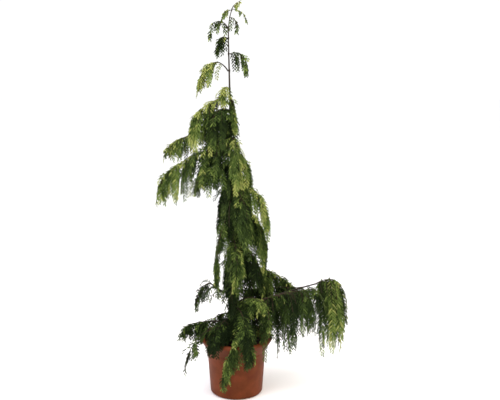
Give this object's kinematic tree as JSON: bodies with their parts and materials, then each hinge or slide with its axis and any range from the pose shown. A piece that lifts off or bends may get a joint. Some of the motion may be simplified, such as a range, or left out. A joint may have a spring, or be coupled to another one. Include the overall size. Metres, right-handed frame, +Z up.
{
  "type": "potted weeping nootka cypress",
  "caption": "Slim weeping conifer in a round terracotta-coloured plastic pot: a leaning trunk, arching boughs and hanging curtains of flat green sprays.",
  "frame": {"origin": "centre of the pot's flat underside", "axes": "+Z up along the plant's height, -Y towards the side that shows best, +X to that side's right"},
  "size_m": [0.8032, 0.4542, 1.6127],
  "materials": {
    "pot": "moulded, matte, terracotta-coloured",
    "compost": "moist, crumbly",
    "bark": "rough, flaking a little",
    "foliage": "satin scale leaves"
  },
  "bodies": {
    "root": {"pot": "pot", "compost": "compost", "trunk": "bark", "upper_left_bough": "bark", "left_arching_bough": "bark", "mid_left_bough": "bark", "long_left_bough": "bark", "lower_left_bough": "bark", "front_right_bough": "bark", "long_right_inner_bough": "bark", "long_right_outer_bough": "bark", "pot_left_bough": "bark", "leader_spray": "foliage", "leader_left_spray": "foliage", "leader_right_spray": "foliage", "crown_right_spray": "foliage", "crown_left_spray": "foliage", "crown_front_spray": "foliage", "upper_right_spray": "foliage", "upper_left_fall": "foliage", "front_upper_spray": "foliage", "right_upper_fall": "foliage", "left_arching_fall": "foliage", "front_left_fall": "foliage", "inner_left_fall": "foliage", "back_upper_fall": "foliage", "mid_left_fall": "foliage", "left_middle_fall": "foliage", "long_left_fall": "foliage", "lower_left_front_fall": "foliage", "lower_left_back_fall": "foliage", "left_strand_upper": "foliage", "left_strand_lower": "foliage", "right_shoulder_fall": "foliage", "right_outer_fall": "foliage", "right_lower_fall": "foliage", "front_fall_upper": "foliage", "front_fall_middle": "foliage", "front_fall_left": "foliage", "front_fall_lower": "foliage", "front_fall_right": "foliage", "front_fall_foot": "foliage", "back_fall_right": "foliage", "back_middle_fall": "foliage", "back_fall_middle": "foliage", "back_fall_left": "foliage", "dark_right_fall": "foliage", "right_curtain": "foliage", "right_inner_curtain": "foliage", "right_end_curtain": "foliage", "lower_left_fall": "foliage", "pot_left_fall": "foliage", "pot_left_strand": "foliage", "pot_front_left_fall": "foliage", "pot_front_strand": "foliage", "pot_front_right_fall": "foliage", "pot_right_fall": "foliage", "pot_back_left_fall": "foliage", "pot_back_right_fall": "foliage"}
  },
  "joints": []
}
